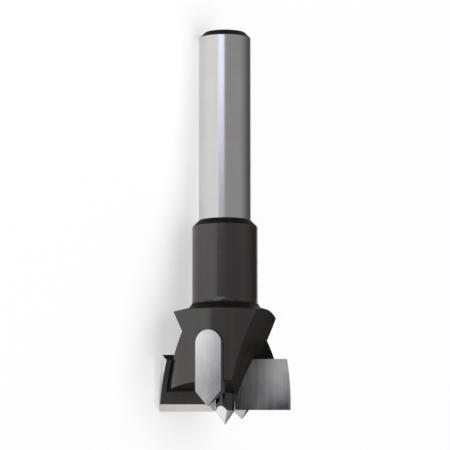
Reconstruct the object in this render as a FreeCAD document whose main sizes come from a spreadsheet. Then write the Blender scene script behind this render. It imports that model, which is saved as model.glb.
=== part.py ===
import FreeCAD, Part
import math
import os
import Sketcher

# Hinge boring bit, 25 mm, on a 10 mm shank.
# It is modelled upright about Z, with its cutting edges at height 0 and the shank above,
# and is then laid down as it comes to rest on a flat surface.

doc = FreeCAD.newDocument("hinge_boring_bit")

# Driving dimensions in millimetres and degrees; a height is measured from the cutting edges.
sizes = [
    ("cutting_diameter", 25.0, "bore that the bit cuts"),
    ("shank_diameter", 10.0, "ground shank held by the chuck"),
    ("shank_length", 36.5, "from the collar to the end of the shank"),
    ("shank_chamfer", 1.1, "lead-in at the end of the shank"),
    ("collar_diameter", 12.5, "neck between shank and head"),
    ("collar_height", 36.4, "where the collar ends and the shank begins"),
    ("neck_fillet", 1.8, "between the collar and the top of the head"),
    ("head_diameter", 22.3, "lands of the head"),
    ("rim_height", 18.3, "upper rim of the lands"),
    ("head_top_slope", 15.0, "cone on top of the head"),
    ("ridge_height", 3.0, "lowest line of the head, between the two gullets"),
    ("end_slope", 8.8, "relief of the two end flanks"),
    ("shoulder_inset", 1.5, "gullet's side wall from the axis, at its foot"),
    ("shoulder_lean", 14.5, "gullet's side wall from upright, at its foot"),
    ("shoulder_radius", 60.0, "curve of the gullet's side wall"),
    ("rake_lean", 25.0, "how far the cutter plates lean back"),
    ("plate_thickness", 2.2, "cutter plate"),
    ("plate_height", 10.3, "upper end of the rake face"),
    ("plate_top_drop", 1.2, "fall of the plate's top from its front to its back"),
    ("edge_lead", 1.4, "cutting edge ahead of the axis"),
    ("end_clearance", 20.0, "relief behind the cutting edge"),
    ("gash_start", 2.1, "from the axis, where a steeper relief begins on the cutting edge"),
    ("gash_rise", 25.5, "slope of that relief towards the back"),
    ("gash_slant", 22.5, "slope of that relief away from the centre point"),
    ("side_relief", 0.5, "shift of the circle to which the plate's side is ground"),
    ("braze_gap", 0.05, "between a plate's edge and its seat"),
    ("post_gap", 0.06, "between a plate and the centre point"),
    ("spur_angle", 15.0, "spur round the head from square to the plates"),
    ("spur_width", 5.0, "spur between its straight sides"),
    ("spur_seat", 9.5, "floor of the spur's slot from the axis"),
    ("spur_crown", 14.05, "top of the spur's round end"),
    ("spur_reach", 0.42, "spur's point below the cutting edges"),
    ("spur_point", 80.0, "full angle of the spur's point"),
    ("spur_bevel", 2.6, "height of the bevel on the spur's inner side"),
    ("post_diameter", 3.66, "centre point above its cone"),
    ("point_reach", 2.67, "centre point below the cutting edges"),
    ("point_angle", 70.8, "full angle of the centre point's cone"),
    ("facet_angle", 54.4, "full angle between the two flats of the centre point"),
    ("facet_turn", 60.5, "flats round the axis from the plates"),
    ("facet_web", 0.06, "flat from the axis at the tip"),
    ("rest_side", 150.0, "side that the bit lies on, round its axis from the first cutter"),
]
sheet = doc.addObject("Spreadsheet::Sheet", "Sizes")
for row, (alias, value, note) in enumerate(sizes, 1):
    sheet.set(f"A{row}", alias)
    sheet.set(f"B{row}", str(value))
    sheet.setAlias(f"B{row}", alias)
    sheet.set(f"C{row}", note)
doc.recompute()


def size(alias):
    return float(sheet.get(alias))


# Densities in grams per cubic millimetre, for the balance of the bit as it lies.
STEEL = 0.00785
CARBIDE = 0.0148
# Points taken round each rim, and the least reach in millimetres at which one can touch the floor.
RIM_POINTS = 721
TOUCH = 0.01

# Sizes that several sketches share, written once in terms of the sheet.
CUTTING_RADIUS = "Sizes.cutting_diameter / 2"
HEAD_RADIUS = "Sizes.head_diameter / 2"
CLEAR_OF_HEAD = "Sizes.cutting_diameter"
LEAN = "(Sizes.rake_lean * 1 deg)"
# The plane behind a cutter plate, where it crosses the level of the cutting edges.
SEAT_BEHIND_AXIS = f"(Sizes.plate_thickness / cos({LEAN}) - Sizes.edge_lead)"


def new_sketch(body, name, role):
    """A sketch on one of the body's own origin planes."""
    sketch = body.newObject("Sketcher::SketchObject", name)
    plane = [feature for feature in body.Origin.OriginFeatures if feature.Role == role][0]
    sketch.AttachmentSupport = [(plane, "")]
    sketch.MapMode = "FlatFace"
    return sketch


def fix_point(sketch, edge, end, across, up):
    """Dimensions a point of the sketch from the origin, bound to the sheet."""
    for kind, expression in (("DistanceX", across), ("DistanceY", up)):
        if expression is not None:
            index = sketch.addConstraint(Sketcher.Constraint(kind, -1, 1, edge, end, 1.0))
            sketch.setExpression(f"Constraints[{index}]", expression)


def close_loop(sketch, first, last):
    """Joins a run of edges end to start, and the last one to the first."""
    for edge in range(first, last + 1):
        following = edge + 1 if edge < last else first
        sketch.addConstraint(Sketcher.Constraint("Coincident", edge, 2, following, 1))


def outline(sketch, corners):
    """A closed outline of straight lines: drawn roughly, then dimensioned corner by corner."""
    turn = 2 * math.pi / len(corners)
    rough = [FreeCAD.Vector(math.cos(i * turn), math.sin(i * turn), 0) for i in range(len(corners))]
    first = sketch.GeometryCount
    for start, finish in zip(rough, rough[1:] + rough[:1]):
        sketch.addGeometry(Part.LineSegment(start, finish), False)
    close_loop(sketch, first, sketch.GeometryCount - 1)
    for number, (across, up) in enumerate(corners):
        fix_point(sketch, first + number, 1, across, up)


def circle(sketch, across, up, radius):
    """A full circle with its centre and radius bound to the sheet."""
    edge = sketch.addGeometry(Part.Circle(FreeCAD.Vector(0, 0, 0), FreeCAD.Vector(0, 0, 1), 5), False)
    fix_point(sketch, edge, 3, across, up)
    index = sketch.addConstraint(Sketcher.Constraint("Radius", edge, 5.0))
    sketch.setExpression(f"Constraints[{index}]", radius)


def add_feature(body, kind, name, profile, **settings):
    """A feature on a sketch; it is recomputed so that the next one can build on it."""
    feature = body.newObject(f"PartDesign::{kind}", name)
    feature.Profile = profile
    for setting, value in settings.items():
        setattr(feature, setting, value)
    profile.Visibility = False
    doc.recompute()
    return feature


def revolve(body, name, profile):
    """A full turn of the profile about the axis of the bit."""
    return add_feature(body, "Revolution", name, profile,
                       ReferenceAxis=(profile, ["V_Axis"]), Angle=360.0)


def cut_through(body, name, profile, **settings):
    """A cut all the way through, which has to take something away."""
    pocket = add_feature(body, "Pocket", name, profile, Type="ThroughAll", **settings)
    if not pocket.Shape.Volume < pocket.BaseFeature.Shape.Volume:
        raise RuntimeError(f"{name} removes nothing")
    return pocket


def repeat_opposite(body, name, feature):
    """The second copy, half a turn round the axis of the bit."""
    pattern = body.newObject("PartDesign::PolarPattern", name)
    pattern.Originals = [feature]
    axis = [item for item in body.Origin.OriginFeatures if item.Role == "Z_Axis"][0]
    pattern.Axis = (axis, [""])
    pattern.Angle = 360.0
    pattern.Occurrences = 2
    body.Tip = pattern
    doc.recompute()


def lean_onto_seat(sketch):
    """Turns an upright sketch into the plane behind a cutter plate."""
    sketch.AttachmentOffset = FreeCAD.Placement(
        FreeCAD.Vector(0, 0, 0), FreeCAD.Rotation(FreeCAD.Vector(-1, 0, 0), size("rake_lean")))
    sketch.setExpression("AttachmentOffset.Rotation.Angle", "Sizes.rake_lean")
    sketch.setExpression("AttachmentOffset.Base.z", f"-{SEAT_BEHIND_AXIS}")


def shoulder_outline(sketch, side, gap):
    """Everything on one side of the gullet's curved side wall.

    side is 1 for the open gullet and -1 for the steel beside it; gap keeps clear of the wall.
    """
    lean = math.radians(size("shoulder_lean"))
    radius = size("shoulder_radius")
    low = -size("head_diameter") / 3
    high = size("rim_height") + size("head_diameter") / 4
    centre = FreeCAD.Vector(size("shoulder_inset") + radius * math.cos(lean), -radius * math.sin(lean), 0)
    upper = math.pi - math.asin((high - centre.y) / radius)
    lower = math.pi - math.asin((low - centre.y) / radius)
    wall = Part.Circle(centre, FreeCAD.Vector(0, 0, 1), radius)
    reach = side * size("cutting_diameter")
    arc = Part.ArcOfCircle(wall, upper, lower)
    sketch.addGeometry(arc, False)
    corners = [arc.EndPoint, FreeCAD.Vector(reach, low, 0), FreeCAD.Vector(reach, high, 0), arc.StartPoint]
    for start, finish in zip(corners, corners[1:]):
        sketch.addGeometry(Part.LineSegment(start, finish), False)
    close_loop(sketch, 0, 3)
    index = sketch.addConstraint(Sketcher.Constraint("Radius", 0, radius))
    sketch.setExpression(f"Constraints[{index}]", f"Sizes.shoulder_radius - {gap}")
    shoulder = "(Sizes.shoulder_lean * 1 deg)"
    fix_point(sketch, 0, 3, f"Sizes.shoulder_inset + Sizes.shoulder_radius * cos({shoulder})",
              f"-Sizes.shoulder_radius * sin({shoulder})")
    fix_point(sketch, 0, 2, None, "-Sizes.head_diameter / 3")
    fix_point(sketch, 0, 1, None, "Sizes.rim_height + Sizes.head_diameter / 4")
    fix_point(sketch, 2, 1, f"{side} * {CLEAR_OF_HEAD}", "-Sizes.head_diameter / 3")
    fix_point(sketch, 3, 1, f"{side} * {CLEAR_OF_HEAD}", "Sizes.rim_height + Sizes.head_diameter / 4")


def face_the_spur(sketch):
    """Turns an upright sketch so that it looks out along the middle of the spur."""
    sketch.AttachmentOffset = FreeCAD.Placement(
        FreeCAD.Vector(0, 0, 0), FreeCAD.Rotation(FreeCAD.Vector(0, -1, 0), size("spur_angle")))
    sketch.setExpression("AttachmentOffset.Rotation.Angle", "Sizes.spur_angle")
    sketch.setExpression("AttachmentOffset.Base.x", "-Sizes.spur_seat * sin(Sizes.spur_angle * 1 deg)")
    sketch.setExpression("AttachmentOffset.Base.z", "Sizes.spur_seat * cos(Sizes.spur_angle * 1 deg)")


def round_topped(sketch, half_width, foot):
    """Two straight sides under a round end; foot is the corner or corners below, left to right."""
    half = size("spur_width") / 2
    middle = size("spur_crown") - half
    centre = FreeCAD.Vector(0, middle, 0)
    crown = Part.ArcOfCircle(Part.Circle(centre, FreeCAD.Vector(0, 0, 1), half), 0, math.pi)
    sketch.addGeometry(crown, False)
    places = [FreeCAD.Vector(-half + i * 2 * half / (len(foot) - 1), -2 + abs(i - 1) * 0.5, 0)
              for i in range(len(foot))]
    places = [crown.EndPoint] + places + [crown.StartPoint]
    for start, finish in zip(places, places[1:]):
        sketch.addGeometry(Part.LineSegment(start, finish), False)
    close_loop(sketch, 0, len(places) - 1)
    index = sketch.addConstraint(Sketcher.Constraint("Radius", 0, half))
    sketch.setExpression(f"Constraints[{index}]", half_width)
    fix_point(sketch, 0, 3, "0", "Sizes.spur_crown - Sizes.spur_width / 2")
    fix_point(sketch, 0, 1, half_width, None)
    fix_point(sketch, 0, 2, f"-({half_width})", None)
    for number, (across, up) in enumerate(foot):
        fix_point(sketch, 2 + number, 1, across, up)


# Body: shank, collar, head and centre point, turned and milled from one bar of steel.
body = doc.addObject("PartDesign::Body", "bit_body")
body.Label = "bit_body"

blank = new_sketch(body, "blank_profile", "XZ_Plane")
SHANK_END = "(Sizes.collar_height + Sizes.shank_length)"
SHANK_RADIUS = "Sizes.shank_diameter / 2"
COLLAR_RADIUS = "Sizes.collar_diameter / 2"
outline(blank, [
    ("0", "Sizes.ridge_height"),
    (HEAD_RADIUS, "Sizes.ridge_height"),
    (HEAD_RADIUS, "Sizes.rim_height"),
    (COLLAR_RADIUS, f"Sizes.rim_height + ({HEAD_RADIUS} - {COLLAR_RADIUS}) * tan(Sizes.head_top_slope * 1 deg)"),
    (COLLAR_RADIUS, f"Sizes.collar_height - ({COLLAR_RADIUS} - {SHANK_RADIUS})"),
    (SHANK_RADIUS, "Sizes.collar_height"),
    (SHANK_RADIUS, f"{SHANK_END} - Sizes.shank_chamfer"),
    (f"{SHANK_RADIUS} - Sizes.shank_chamfer", SHANK_END),
    ("0", SHANK_END),
])
turned = revolve(body, "blank", blank)

# Fillet round the neck, where the collar grows out of the head.
neck = [f"Edge{number}" for number, edge in enumerate(turned.Shape.Edges, 1)
        if isinstance(edge.Curve, Part.Circle)
        and abs(edge.Curve.Radius - size("collar_diameter") / 2) < 0.001
        and edge.Curve.Center.z < size("collar_height") - size("collar_diameter") / 2]
fillet = body.newObject("PartDesign::Fillet", "neck_round")
fillet.Base = (turned, neck)
fillet.setExpression("Radius", "Sizes.neck_fillet")
doc.recompute()

# End flanks: the underside rises to both sides of the ridge that joins the cutters.
flanks = new_sketch(body, "end_flanks", "YZ_Plane")
for side in ("-1", "1"):
    outline(flanks, [
        ("0", "Sizes.ridge_height"),
        (f"{side} * {CUTTING_RADIUS}",
         f"Sizes.ridge_height + {CUTTING_RADIUS} * tan(Sizes.end_slope * 1 deg)"),
        (f"{side} * {CUTTING_RADIUS}", "0"),
        ("0", "0"),
    ])
cut_through(body, "end_relief", flanks, SideType="Symmetric")

# Gullets: milled square to the plane of the cutter plate, with one curved side wall.
gullet_profile = new_sketch(body, "gullet_profile", "XZ_Plane")
lean_onto_seat(gullet_profile)
shoulder_outline(gullet_profile, 1, "0")
gullet = cut_through(body, "gullet", gullet_profile, Reversed=True)
repeat_opposite(body, "gullets", gullet)

# Spur slots: round-ended keyways milled up each land from below.
slot_profile = new_sketch(body, "spur_slot_profile", "XZ_Plane")
face_the_spur(slot_profile)
SLOT_HALF_WIDTH = "Sizes.spur_width / 2 + Sizes.braze_gap"
round_topped(slot_profile, SLOT_HALF_WIDTH, [
    (f"-({SLOT_HALF_WIDTH})", "-Sizes.spur_width"),
    (SLOT_HALF_WIDTH, "-Sizes.spur_width"),
])
slot = cut_through(body, "spur_slot", slot_profile, Reversed=True)
repeat_opposite(body, "spur_slots", slot)

# Centre point: a post below the ridge, ending in a cone.
point_profile = new_sketch(body, "point_profile", "XZ_Plane")
POST_RADIUS = "Sizes.post_diameter / 2"
outline(point_profile, [
    ("0", "-Sizes.point_reach"),
    (POST_RADIUS, f"-Sizes.point_reach + {POST_RADIUS} / tan(Sizes.point_angle / 2 * 1 deg)"),
    (POST_RADIUS, "Sizes.ridge_height + Sizes.post_diameter / 2"),
    ("0", "Sizes.ridge_height + Sizes.post_diameter / 2"),
])
revolve(body, "centre_point", point_profile)

# Two opposite flats are ground on the centre point and run out up its post.
facet_profile = new_sketch(body, "facet_profile", "XZ_Plane")
facet_profile.AttachmentOffset = FreeCAD.Placement(
    FreeCAD.Vector(0, 0, 0), FreeCAD.Rotation(FreeCAD.Vector(0, 1, 0), size("facet_turn")))
facet_profile.setExpression("AttachmentOffset.Rotation.Angle", "Sizes.facet_turn")
BEYOND_POST = f"(1.1 * {POST_RADIUS})"
for side in ("-1", "1"):
    outline(facet_profile, [
        (f"{side} * Sizes.facet_web", "-Sizes.point_reach"),
        (f"{side} * {BEYOND_POST}",
         f"-Sizes.point_reach + ({BEYOND_POST} - Sizes.facet_web) / tan(Sizes.facet_angle / 2 * 1 deg)"),
        (f"{side} * {BEYOND_POST}", "-Sizes.point_reach"),
    ])
cut_through(body, "point_facets", facet_profile, SideType="Symmetric")


def cutter_tip(name):
    """Cutter plate: a flat piece of carbide brazed against the back and side walls of its gullet."""
    plate = doc.addObject("PartDesign::Body", name)
    plate.Label = name

    section = new_sketch(plate, f"{name}_section", "YZ_Plane")
    section.setExpression("AttachmentOffset.Base.z", "Sizes.post_diameter / 2 + Sizes.post_gap")
    rise = "tan(Sizes.end_clearance * 1 deg)"
    heel = f"(Sizes.plate_thickness / cos({LEAN}) * {rise} / (1 - tan({LEAN}) * {rise}))"
    outline(section, [
        ("-Sizes.edge_lead", "0"),
        (f"-Sizes.edge_lead + Sizes.plate_height * tan({LEAN})", "Sizes.plate_height"),
        (f"{SEAT_BEHIND_AXIS} + (Sizes.plate_height - Sizes.plate_top_drop) * tan({LEAN})",
         "Sizes.plate_height - Sizes.plate_top_drop"),
        (f"{SEAT_BEHIND_AXIS} + {heel} * tan({LEAN})", heel),
    ])
    slab = add_feature(plate, "Pad", f"{name}_slab", section)
    slab.setExpression("Length", CUTTING_RADIUS)

    # The inner side follows the gullet's side wall.
    inner = new_sketch(plate, f"{name}_inner", "XZ_Plane")
    lean_onto_seat(inner)
    shoulder_outline(inner, -1, "Sizes.braze_gap")
    cut_through(plate, f"{name}_inner_side", inner, Reversed=True)

    # A gash beside the centre point relieves the inner end of the edge more steeply.
    gash = new_sketch(plate, f"{name}_gash", "YZ_Plane")
    gash.AttachmentOffset = FreeCAD.Placement(
        FreeCAD.Vector(0, 0, 0), FreeCAD.Rotation(FreeCAD.Vector(1, 0, 0), size("gash_slant")))
    gash.setExpression("AttachmentOffset.Rotation.Angle", "Sizes.gash_slant")
    edge_start = "Sizes.gash_start * sin(Sizes.gash_slant * 1 deg)"
    behind_plate = "Sizes.plate_thickness + Sizes.edge_lead"
    outline(gash, [
        ("-Sizes.edge_lead", edge_start),
        (behind_plate, f"{edge_start} + ({behind_plate} + Sizes.edge_lead) * tan(Sizes.gash_rise * 1 deg)"),
        (behind_plate, "0"),
        ("-Sizes.edge_lead", "0"),
    ])
    cut_through(plate, f"{name}_gash_cut", gash, Reversed=True)

    # The outer side is ground to a circle struck from ahead of the axis, so it clears the bore.
    outer = new_sketch(plate, f"{name}_outer", "XY_Plane")
    outer.setExpression("AttachmentOffset.Base.z", "Sizes.plate_height")
    circle(outer, "0", "-Sizes.side_relief",
           f"sqrt(({CUTTING_RADIUS}) ^ 2 - Sizes.edge_lead ^ 2 + (Sizes.edge_lead - Sizes.side_relief) ^ 2)")
    circle(outer, "0", "0", CLEAR_OF_HEAD)
    cut_through(plate, f"{name}_outer_side", outer, SideType="Symmetric")
    return plate


def spur_tip(name):
    """Spur: a round-ended strip of carbide brazed in its slot, pointed below to score the bore's edge."""
    strip = doc.addObject("PartDesign::Body", name)
    strip.Label = name

    face = new_sketch(strip, f"{name}_face", "XZ_Plane")
    face_the_spur(face)
    half_width = "Sizes.spur_width / 2"
    neck_height = f"-Sizes.spur_reach + {half_width} / tan(Sizes.spur_point / 2 * 1 deg)"
    round_topped(face, half_width, [
        (f"-({half_width})", neck_height),
        ("0", "-Sizes.spur_reach"),
        (half_width, neck_height),
    ])
    bar = add_feature(strip, "Pad", f"{name}_bar", face)
    bar.setExpression("Length", CUTTING_RADIUS)

    # The outside is ground to the radius that the bit cuts.
    outside = new_sketch(strip, f"{name}_outside", "XY_Plane")
    outside.setExpression("AttachmentOffset.Base.z", "Sizes.spur_crown")
    circle(outside, "0", "0", CUTTING_RADIUS)
    circle(outside, "0", "0", "2 * Sizes.cutting_diameter")
    cut_through(strip, f"{name}_outside_round", outside, SideType="Symmetric")

    # The point is bevelled on its inner side, so that its tip lies on the outside.
    bevel = new_sketch(strip, f"{name}_bevel", "XZ_Plane")
    bevel.AttachmentOffset = FreeCAD.Placement(
        FreeCAD.Vector(0, 0, 0), FreeCAD.Rotation(FreeCAD.Vector(0, 1, 0), 90 - size("spur_angle")))
    bevel.setExpression("AttachmentOffset.Rotation.Angle", "90 - Sizes.spur_angle")
    outline(bevel, [
        (f"-({CUTTING_RADIUS})", "-Sizes.spur_reach"),
        ("-Sizes.spur_seat", "Sizes.spur_bevel"),
        ("-Sizes.spur_seat / 2", "Sizes.spur_bevel"),
        ("-Sizes.spur_seat / 2", "-Sizes.spur_reach"),
    ])
    cut_through(strip, f"{name}_point_bevel", bevel, SideType="Symmetric")
    return strip


# The five pieces as they stand upright; the second cutter and spur are half a turn round the axis.
upright = FreeCAD.Placement()
half_turn = FreeCAD.Placement(FreeCAD.Vector(0, 0, 0), FreeCAD.Rotation(FreeCAD.Vector(0, 0, 1), 180))
pieces = [
    (body, upright, STEEL),
    (cutter_tip("cutter_tip_1"), upright, CARBIDE),
    (cutter_tip("cutter_tip_2"), half_turn, CARBIDE),
    (spur_tip("spur_tip_1"), upright, CARBIDE),
    (spur_tip("spur_tip_2"), half_turn, CARBIDE),
]
for piece, stand, density in pieces:
    piece.Placement = stand
doc.recompute()

# Rest: the bit can't stand on its points, so it is tipped onto its side until three of its
# outermost points touch the floor. Directions are those of the upright bit.
outermost = []
moment = FreeCAD.Vector(0, 0, 0)
mass = 0
for piece, stand, density in pieces:
    outermost += [corner.Point for corner in piece.Shape.Vertexes]
    for edge in piece.Shape.Edges:
        if not edge.Degenerated and isinstance(edge.Curve, Part.Circle):
            outermost += edge.discretize(RIM_POINTS)
    moment += piece.Shape.Solids[0].CenterOfMass * piece.Shape.Volume * density
    mass += piece.Shape.Volume * density
balance = moment / mass


def tip_over(down, held):
    """Tips the bit about the points that already touch the floor, until one more touches it."""
    fall = held[0] - balance
    fall -= down * fall.dot(down)
    if len(held) == 2:
        hinge = (held[1] - held[0]).normalize()
        fall -= hinge * fall.dot(hinge)
    fall.normalize()
    turn, touching = min(
        (math.atan2(-down.dot(point - held[0]), -fall.dot(point - held[0])), number)
        for number, point in enumerate(outermost)
        if -fall.dot(point - held[0]) > TOUCH)
    return down * math.cos(turn) - fall * math.sin(turn), held + [outermost[touching]]


side = math.radians(size("rest_side"))
down = FreeCAD.Vector(math.cos(side), math.sin(side), 0)
held = [max(outermost, key=down.dot)]
down, held = tip_over(down, held)
down, held = tip_over(down, held)
print("rests on", [tuple(round(c, 3) for c in point) for point in held], "down", tuple(down))

# The shank points to +Y, and the origin is on the floor in the middle of the bit's outline.
up = -down
along = FreeCAD.Vector(0, 0, 1)
along = (along - up * along.dot(up)).normalize()
across = along.cross(up)
lie = FreeCAD.Placement(FreeCAD.Matrix(
    across.x, across.y, across.z, 0, along.x, along.y, along.z, 0, up.x, up.y, up.z, 0, 0, 0, 0, 1))
for piece, stand, density in pieces:
    piece.Placement = lie.multiply(stand)
doc.recompute()
outer = FreeCAD.BoundBox()
for piece, stand, density in pieces:
    outer.add(piece.Shape.optimalBoundingBox(True, False))
lie.Base = FreeCAD.Vector(-outer.Center.x, -outer.Center.y, -outer.ZMin)
for piece, stand, density in pieces:
    piece.Placement = lie.multiply(stand)
doc.recompute()

for item in doc.Objects:
    if "Invalid" in item.State or "Error" in item.State:
        raise RuntimeError(f"{item.Label} failed: {item.State}")
for piece, stand, density in pieces:
    if piece.Shape.isNull() or not piece.Shape.isValid() or len(piece.Shape.Solids) != 1:
        raise RuntimeError(f"{piece.Label} is not one valid solid")

os.makedirs("parts", exist_ok=True)
for piece, stand, density in pieces:
    piece.Shape.exportStep(f"parts/{piece.Label}.step")
    print(piece.Label, round(piece.Shape.Volume, 2), "mm3")
print("lie", lie.toMatrix().A)
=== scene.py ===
import math

import bpy
from mathutils import Matrix, Vector


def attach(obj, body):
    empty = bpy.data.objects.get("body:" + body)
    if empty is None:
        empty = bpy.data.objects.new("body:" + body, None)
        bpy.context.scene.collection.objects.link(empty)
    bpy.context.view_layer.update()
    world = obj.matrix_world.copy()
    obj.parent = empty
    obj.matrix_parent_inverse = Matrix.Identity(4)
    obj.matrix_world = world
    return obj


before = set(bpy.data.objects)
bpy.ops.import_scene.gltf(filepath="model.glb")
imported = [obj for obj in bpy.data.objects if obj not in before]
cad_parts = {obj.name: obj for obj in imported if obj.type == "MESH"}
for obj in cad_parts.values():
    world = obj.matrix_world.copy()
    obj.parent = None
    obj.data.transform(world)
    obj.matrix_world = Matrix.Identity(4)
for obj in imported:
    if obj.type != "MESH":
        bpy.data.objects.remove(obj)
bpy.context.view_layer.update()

scene = bpy.context.scene
scene.view_settings.view_transform = "Standard"

# Shank: the plain cylinder that the chuck grips, part of the one steel bar. It is ground between
# wheels, which leaves bright steel with fine rings, up to the collar and to the chamfer of its end.
ROLL_ON_ITS_SIDE = math.radians(-61.0005)
TIP_DOWN = math.radians(-95.2066)
AXIS_AT_CUTTING_EDGES = Vector((0.0, -0.0351471, 0.0114952))
BROKEN_EDGE = 0.00015

# The bit lies on one cutter's corner, the rim of one land and the end of its shank, so its axis
# dips towards +Y. `lying` takes a point measured on the upright bit, with the cutting edges at
# height 0 and the shank above them, to its place on the floor; `upright` goes back.
lying = (Matrix.Translation(AXIS_AT_CUTTING_EDGES)
         @ Matrix.Rotation(TIP_DOWN, 4, "X")
         @ Matrix.Rotation(ROLL_ON_ITS_SIDE, 4, "Z"))
upright = lying.inverted()


def new_finish(name, metallic):
    """A material with its node tree and its main shader."""
    finish = bpy.data.materials.new(name)
    finish.use_nodes = True
    surface = finish.node_tree.nodes["Principled BSDF"]
    surface.inputs["Metallic"].default_value = metallic
    return finish, finish.node_tree, surface


def measured_on_bit(tree, scale=(1.0, 1.0, 1.0)):
    """Coordinates of the upright bit in metres, times scale."""
    place = tree.nodes.new("ShaderNodeTexCoord")
    turn = tree.nodes.new("ShaderNodeMapping")
    turn.inputs["Location"].default_value = upright.translation
    turn.inputs["Rotation"].default_value = (-TIP_DOWN, 0.0, -ROLL_ON_ITS_SIDE)
    tree.links.new(place.outputs["Object"], turn.inputs["Vector"])
    stretch = tree.nodes.new("ShaderNodeMapping")
    stretch.inputs["Scale"].default_value = scale
    tree.links.new(turn.outputs["Vector"], stretch.inputs["Vector"])
    return stretch.outputs["Vector"]


def grain(tree, waves_per_metre, detail=3.0):
    """Noise with its own number of waves per metre along each axis of the upright bit."""
    waves = tree.nodes.new("ShaderNodeTexNoise")
    waves.inputs["Scale"].default_value = 1.0
    waves.inputs["Detail"].default_value = detail
    tree.links.new(measured_on_bit(tree, waves_per_metre), waves.inputs["Vector"])
    return waves.outputs["Fac"]


def spread(tree, value, low, high, start=0.3, end=0.7):
    """Turns a value between start and end into one between low and high."""
    ramp = tree.nodes.new("ShaderNodeMapRange")
    ramp.inputs["From Min"].default_value = start
    ramp.inputs["From Max"].default_value = end
    ramp.inputs["To Min"].default_value = low
    ramp.inputs["To Max"].default_value = high
    tree.links.new(value, ramp.inputs["Value"])
    return ramp.outputs["Result"]


def tint(tree, surface, amount, first, second):
    """Base colour that runs from first to second with amount."""
    mix = tree.nodes.new("ShaderNodeMix")
    mix.data_type = "RGBA"
    mix.inputs["A"].default_value = (*first, 1.0)
    mix.inputs["B"].default_value = (*second, 1.0)
    tree.links.new(amount, mix.inputs["Factor"])
    tree.links.new(mix.outputs["Result"], surface.inputs["Base Color"])


def roughen(tree, surface, height, smoothest, roughest, strength, depth):
    """Roughness and bump that follow a height between 0 and 1, over softly broken edges.

    The bump is as deep as depth in metres.
    """
    tree.links.new(spread(tree, height, smoothest, roughest), surface.inputs["Roughness"])
    broken_edge = tree.nodes.new("ShaderNodeBevel")
    broken_edge.samples = 8
    broken_edge.inputs["Radius"].default_value = BROKEN_EDGE
    bump = tree.nodes.new("ShaderNodeBump")
    tree.links.new(broken_edge.outputs["Normal"], bump.inputs["Normal"])
    bump.inputs["Strength"].default_value = strength
    bump.inputs["Distance"].default_value = depth
    tree.links.new(height, bump.inputs["Height"])
    tree.links.new(bump.outputs["Normal"], surface.inputs["Normal"])


def add_up(tree, *values):
    """The sum of several values."""
    total = values[0]
    for value in values[1:]:
        step = tree.nodes.new("ShaderNodeMath")
        step.operation = "ADD"
        tree.links.new(total, step.inputs[0])
        tree.links.new(value, step.inputs[1])
        total = step.outputs["Value"]
    return total


ground_steel, tree, surface = new_finish("ground_steel", 1.0)
rings = grain(tree, (60.0, 60.0, 12000.0))
patches = grain(tree, (300.0, 300.0, 90.0))
tint(tree, surface, add_up(tree, spread(tree, rings, 0.0, 0.6), spread(tree, patches, 0.0, 0.4)),
     (0.67, 0.65, 0.645), (0.76, 0.74, 0.735))
roughen(tree, surface, rings, 0.17, 0.22, 0.02, 0.00001)

# Collar, head and post: the same bar, turned and then milled, under a film of black oxide. The
# film is glossy on the turned faces, dull in the milled gullets, and deepest on the neck, the
# chamfers and the end. The centre point is ground last, through the film.
black_oxide, tree, surface = new_finish("black_oxide", 0.0)
turning = grain(tree, (80.0, 80.0, 5000.0))
drawn = grain(tree, (700.0, 700.0, 12.0))
clouds = grain(tree, (300.0, 300.0, 150.0))
tint(tree, surface, add_up(tree, spread(tree, drawn, 0.0, 0.75), spread(tree, clouds, 0.0, 0.25)),
     (0.002, 0.0015, 0.002), (0.020, 0.017, 0.015))
surface.inputs["IOR"].default_value = 1.9
surface.inputs["Specular Tint"].default_value = (1.0, 0.94, 0.92, 1.0)
roughen(tree, surface, turning, 0.16, 0.24, 0.04, 0.00002)

dull_black, tree, surface = new_finish("dull_black", 0.0)
tool_lines = grain(tree, (400.0, 600.0, 4500.0))
shades = grain(tree, (150.0, 150.0, 120.0))
tint(tree, surface, add_up(tree, spread(tree, tool_lines, 0.0, 0.4), spread(tree, shades, 0.0, 0.6)),
     (0.017, 0.014, 0.011), (0.038, 0.033, 0.028))
surface.inputs["IOR"].default_value = 1.05
roughen(tree, surface, tool_lines, 0.45, 0.6, 0.5, 0.00004)

deep_black, tree, surface = new_finish("deep_black", 0.0)
pits = grain(tree, (2500.0, 2500.0, 2500.0))
tint(tree, surface, spread(tree, pits, 0.0, 1.0), (0.008, 0.007, 0.007), (0.022, 0.020, 0.018))
surface.inputs["IOR"].default_value = 1.1
roughen(tree, surface, pits, 0.4, 0.55, 0.5, 0.00005)

ground_point, tree, surface = new_finish("ground_point", 1.0)
scratches = grain(tree, (3000.0, 3000.0, 500.0))
tint(tree, surface, spread(tree, scratches, 0.0, 1.0), (0.88, 0.87, 0.86), (0.97, 0.96, 0.95))
roughen(tree, surface, scratches, 0.3, 0.4, 0.15, 0.00002)


def dress(node, *finishes):
    """Gives a node its finishes; each of its faces then picks one by number."""
    node.data.materials.clear()
    for finish in finishes:
        node.data.materials.append(finish)


def seen_upright(face):
    """The middle of a face and the way it faces, on the upright bit."""
    return upright @ face.center, upright.to_3x3() @ face.normal


# Heights above the cutting edges and distances from the axis, between one face and the next.
COLLAR_END, COLLAR_CHAMFER, SHANK_CYLINDER_END = 0.0364, 0.0013, 0.0718
SHANK_WALL = 0.0049
LAND_RADIUS = 0.01115
INSIDE_THE_LANDS = 0.99 * LAND_RADIUS
HEAD_RIM, NECK_DARK_TOP, NECK_TOP = 0.0183, 0.0203, 0.021
POST_RADIUS, POINT_TOP, RIDGE = 0.00183, 0.003, 0.0029
# How far a face's normal points round the axis instead of at it, and how far up or down.
TURNED_ASIDE = 0.05
POINT_DOWN, END_DOWN = -0.2, -0.9
CHAMFER_UP_FROM, CHAMFER_UP_TO = 0.1, 0.95

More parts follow.
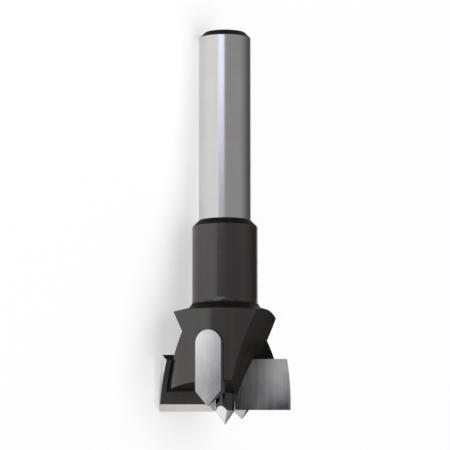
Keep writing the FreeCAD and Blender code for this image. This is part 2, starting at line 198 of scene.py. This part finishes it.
BLACK, BRIGHT, DULL, GROUND, DEEP = range(5)
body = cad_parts["bit_body"]
dress(body, black_oxide, ground_steel, dull_black, ground_point, deep_black)
for face in body.data.polygons:
    centre, facing = seen_upright(face)
    highest = max((upright @ body.data.vertices[corner].co).z for corner in face.vertices)
    reach = math.hypot(centre.x, centre.y)
    turned = abs(centre.x * facing.y - centre.y * facing.x) < TURNED_ASIDE * reach
    on_shank = COLLAR_END < centre.z < SHANK_CYLINDER_END and reach > SHANK_WALL
    on_point = centre.z < POINT_TOP and reach < POST_RADIUS and facing.z < POINT_DOWN
    below_rim = RIDGE < centre.z < HEAD_RIM and reach < INSIDE_THE_LANDS
    in_gullet = below_rim or (not turned and HEAD_RIM < centre.z < NECK_TOP)
    on_end = centre.z > RIDGE and facing.z < END_DOWN
    on_chamfer = centre.z > COLLAR_END - COLLAR_CHAMFER and CHAMFER_UP_FROM < facing.z < CHAMFER_UP_TO
    on_neck = turned and HEAD_RIM < centre.z and highest < NECK_DARK_TOP
    if on_shank:
        face.material_index = BRIGHT
    elif on_point:
        face.material_index = GROUND
    elif on_end or on_chamfer or on_neck:
        face.material_index = DEEP
    elif in_gullet:
        face.material_index = DULL
    else:
        face.material_index = BLACK

# Cutter plates: carbide, brazed against the back wall of each gullet. The rake face is ground up
# its length and shows fine lines, the faces under the edge are ground bright, and the back keeps
# its dark sintered skin. The top takes the deep black finish of the body's chamfers and end.
PLATE_TOP, RAKE_PAINTED_SHADE_UP_TO, GASH_REACH = 0.0103, 0.8, 0.0035
TOP_UP, BACK_ROUND, EDGE_DOWN, GASH_ASIDE = 0.6, 0.8, -0.6, 0.2


def height_on_bit(tree):
    """Height above the cutting edges of the upright bit, in metres."""
    split = tree.nodes.new("ShaderNodeSeparateXYZ")
    tree.links.new(measured_on_bit(tree), split.inputs["Vector"])
    return split.outputs["Z"]


rake_ground, tree, surface = new_finish("rake_ground", 1.0)
lines = grain(tree, (7000.0, 60.0, 60.0))
broad = grain(tree, (900.0, 20.0, 40.0))
stain = grain(tree, (220.0, 220.0, 180.0), 4.0)
# The rake face's colour is painted darker and bluer from partway up down to the cutting edge: painted
# shade. The fine lines, broad bands and stains over it are its own.
grain_and_painted_shade = add_up(tree,
                    spread(tree, height_on_bit(tree), 0.0, 1.0, 0.0, RAKE_PAINTED_SHADE_UP_TO * PLATE_TOP),
                    spread(tree, lines, -0.08, 0.12),
                    spread(tree, broad, -0.08, 0.08),
                    spread(tree, stain, -0.2, 0.2))
tint(tree, surface, grain_and_painted_shade, (0.15, 0.165, 0.19), (0.97, 0.965, 0.955))
roughen(tree, surface, lines, 0.34, 0.42, 0.25, 0.00002)

edge_ground, tree, surface = new_finish("edge_ground", 1.0)
wheel_marks = grain(tree, (800.0, 6000.0, 6000.0))
tint(tree, surface, spread(tree, wheel_marks, 0.0, 1.0), (0.67, 0.64, 0.61), (0.77, 0.735, 0.70))
roughen(tree, surface, wheel_marks, 0.36, 0.44, 0.15, 0.00002)

sintered, tree, surface = new_finish("sintered_back", 0.0)
skin = grain(tree, (2500.0, 2500.0, 2500.0))
tint(tree, surface, spread(tree, skin, 0.0, 1.0), (0.075, 0.068, 0.066), (0.098, 0.090, 0.087))
surface.inputs["IOR"].default_value = 1.25
roughen(tree, surface, skin, 0.5, 0.7, 0.2, 0.00002)

RAKE, EDGE, GASH, BACK, TOP = range(5)
for name, way_round in (("cutter_tip_1", 1), ("cutter_tip_2", -1)):
    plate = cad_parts[name]
    dress(plate, rake_ground, edge_ground, ground_point, sintered, deep_black)
    for face in plate.data.polygons:
        centre, facing = seen_upright(face)
        if facing.z > TOP_UP:
            face.material_index = TOP
        elif facing.y * way_round > BACK_ROUND:
            face.material_index = BACK
        elif abs(facing.x) > GASH_ASIDE and (facing.z < EDGE_DOWN or abs(centre.x) < GASH_REACH):
            face.material_index = GASH
        elif facing.z < EDGE_DOWN:
            face.material_index = EDGE
        else:
            face.material_index = RAKE

# Spurs: round-ended carbide strips brazed in the slots of the lands. The outside is ground with a
# fine wheel, and the bevel inside the point is ground bright; the straight sides keep the dark skin.
SPUR_PAINTED_SHADE_FULL_BELOW, SPUR_PAINTED_SHADE_UP_TO = 0.004, 0.0125
SIDE_TURNS_ASIDE, BEVEL_DOWN = 0.6, -0.5

spur_ground, tree, surface = new_finish("spur_ground", 1.0)
fine = grain(tree, (6000.0, 6000.0, 2500.0), 4.0)
streaks = grain(tree, (2500.0, 2500.0, 300.0))
# The outside's colour is painted darker towards the point: painted shade. The fine grain and streaks
# over it are its own.
grain_and_painted_shade = add_up(tree,
                    spread(tree, fine, 0.0, 0.18),
                    spread(tree, streaks, 0.0, 0.18),
                    spread(tree, height_on_bit(tree), 0.0, 0.64, SPUR_PAINTED_SHADE_FULL_BELOW, SPUR_PAINTED_SHADE_UP_TO))
tint(tree, surface, grain_and_painted_shade, (0.42, 0.415, 0.41), (0.98, 0.965, 0.945))
roughen(tree, surface, fine, 0.3, 0.4, 0.3, 0.00003)

OUTSIDE, SIDE, BEVEL = range(3)
for name in ("spur_tip_1", "spur_tip_2"):
    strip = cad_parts[name]
    dress(strip, spur_ground, sintered, edge_ground)
    for face in strip.data.polygons:
        centre, facing = seen_upright(face)
        outwards = (centre.x * facing.x + centre.y * facing.y) / math.hypot(centre.x, centre.y)
        if abs(outwards) < SIDE_TURNS_ASIDE:
            face.material_index = SIDE
        elif outwards < 0.0 and facing.z < BEVEL_DOWN:
            face.material_index = BEVEL
        else:
            face.material_index = OUTSIDE

# Bead: a thin black rod in each corner where the back of a cutter plate stands out behind the edge
# of its land, which makes that corner black. It follows the corner up to the top of the plate.
BEAD_RADIUS, BEAD_SIDES, BEAD_STEPS = 0.00026, 12, 8
SEAT_BEHIND_AXIS, SEAT_SLOPE = 0.001026, math.tan(math.radians(25.0))
BEAD_FOOT, BEAD_TOP = 0.0034, 0.0090
SMOOTH_UNDER = math.radians(40.0)
corner = []
for step in range(BEAD_STEPS + 1):
    z = BEAD_FOOT + (BEAD_TOP - BEAD_FOOT) * step / BEAD_STEPS
    y = SEAT_BEHIND_AXIS + SEAT_SLOPE * z
    corner.append(Vector((math.sqrt(LAND_RADIUS ** 2 - y ** 2), y, z)))
for number in (1, 2):
    bpy.ops.object.select_all(action="DESELECT")
    along = (corner[1] - corner[0]).to_track_quat("Z", "Y")
    bpy.ops.mesh.primitive_circle_add(vertices=BEAD_SIDES, radius=BEAD_RADIUS, fill_type="NGON",
                                      location=corner[0], rotation=along.to_euler())
    bead = bpy.context.object
    bead.name = f"black_corner_bead_{number}"
    bpy.ops.object.transform_apply(location=True, rotation=True, scale=True)
    bpy.ops.object.mode_set(mode="EDIT")
    bpy.ops.mesh.select_all(action="SELECT")
    for below, above in zip(corner, corner[1:]):
        bpy.ops.mesh.extrude_region_move(TRANSFORM_OT_translate={"value": above - below})
    bpy.ops.mesh.select_all(action="SELECT")
    bpy.ops.mesh.normals_make_consistent(inside=False)
    bpy.ops.object.mode_set(mode="OBJECT")
    bead.matrix_world = lying @ Matrix.Rotation(math.pi * (number - 1), 4, "Z")
    bpy.ops.object.transform_apply(location=True, rotation=True, scale=True)
    bpy.ops.object.shade_smooth_by_angle(angle=SMOOTH_UNDER)
    bead.data.materials.append(deep_black)
    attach(bead, "root")

# Floor: a plain white sheet that the bit lies on. What the camera and the steel see of it is
# lifted to white, and it keeps the bit's shadow.
FLOOR_WIDTH = 8.0
LIFT_TO_WHITE, LIFT_IN_STEEL = 0.54, 0.44
bpy.ops.object.select_all(action="DESELECT")
bpy.ops.mesh.primitive_plane_add(size=FLOOR_WIDTH, location=(0.0, 0.0, 0.0))
floor = bpy.context.object
floor.name = "floor"
white_sheet, tree, surface = new_finish("white_sheet", 0.0)
surface.inputs["Roughness"].default_value = 1.0
surface.inputs["Base Color"].default_value = (0.8, 0.8, 0.8, 1.0)
surface.inputs["Specular IOR Level"].default_value = 0.0
surface.inputs["Emission Color"].default_value = (1.0, 1.0, 1.0, 1.0)
rays = tree.nodes.new("ShaderNodeLightPath")
reflected = add_up(tree, rays.outputs["Is Glossy Ray"], rays.outputs["Is Transmission Ray"])
tree.links.new(add_up(tree,
                      spread(tree, rays.outputs["Is Camera Ray"], 0.0, LIFT_TO_WHITE, 0.0, 1.0),
                      spread(tree, reflected, 0.0, LIFT_IN_STEEL, 0.0, 1.0)),
               surface.inputs["Emission Strength"])
floor.data.materials.append(white_sheet)

# Room: even and pale, and darker on the far side, which shades the edge of the bit that faces it.
# It starts to darken a quarter of the way over to that side.
NEAR_SIDE, FAR_SIDE = 0.33, 0.06
DARKENS_FROM = 0.25
room = bpy.data.worlds.new("pale_room")
room.use_nodes = True
tree = room.node_tree
direction = tree.nodes.new("ShaderNodeTexCoord")
across = tree.nodes.new("ShaderNodeSeparateXYZ")
tree.links.new(direction.outputs["Generated"], across.inputs["Vector"])
tree.links.new(spread(tree, across.outputs["X"], NEAR_SIDE, FAR_SIDE, DARKENS_FROM, 1.0),
               tree.nodes["Background"].inputs["Strength"])
tree.nodes["Background"].inputs["Color"].default_value = (1.0, 1.0, 1.0, 1.0)
scene.world = room


def face_towards(thing, stands_at, direction):
    """Sets a lamp or camera, measured on the upright bit, with its top towards the shank's end."""
    ahead = direction.normalized()
    side = ahead.cross(Vector((0.0, 0.0, 1.0))).normalized()
    turn = Matrix((side, side.cross(ahead), -ahead)).transposed().to_4x4()
    thing.matrix_world = lying @ Matrix.Translation(stands_at) @ turn


def soft_lamp(name, stands_at, aims_at, width, height, level, colour):
    """A lamp whose face shows as bright as level; both points are measured on the upright bit."""
    lamp = bpy.data.lights.new(name, "AREA")
    lamp.shape = "RECTANGLE"
    lamp.size = width
    lamp.size_y = height
    lamp.energy = level * math.pi * width * height
    lamp.color = colour
    holder = bpy.data.objects.new(name, lamp)
    scene.collection.objects.link(holder)
    face_towards(holder, Vector(stands_at), Vector(aims_at) - Vector(stands_at))
    return holder


# Lamps: a large soft one overhead that lights the floor, and a narrow strip beside the camera
# that draws the bright line up the shank.
overhead = soft_lamp("overhead", stands_at=(0.78, -0.43, 0.02), aims_at=(0.0, 0.0, 0.03),
                     width=1.2, height=1.2, level=0.75, colour=(1.0, 1.0, 1.0))
overhead.visible_glossy = False
soft_lamp("strip", stands_at=(-0.115, -0.395, 0.19), aims_at=(0.0, 0.0, 0.06),
          width=0.20, height=0.14, level=1.4, colour=(0.70, 0.75, 1.0))

# Camera: a long lens on the photographed side of the bit, a little towards its tip, with the
# shank's end at the top of the frame.
EYE = Vector((0.0, -0.76838, -0.07853))
PITCH = math.radians(8.4513)
FOCUS_IN_PIXELS, FRAME_IN_PIXELS = 4066.6, 450
camera = bpy.data.objects.new("camera", bpy.data.cameras.new("camera"))
scene.collection.objects.link(camera)
face_towards(camera, EYE, Vector((0.0, math.cos(PITCH), math.sin(PITCH))))
camera.data.sensor_width = 36.0
camera.data.lens = camera.data.sensor_width * FOCUS_IN_PIXELS / FRAME_IN_PIXELS
camera.data.clip_start = 0.01
scene.camera = camera
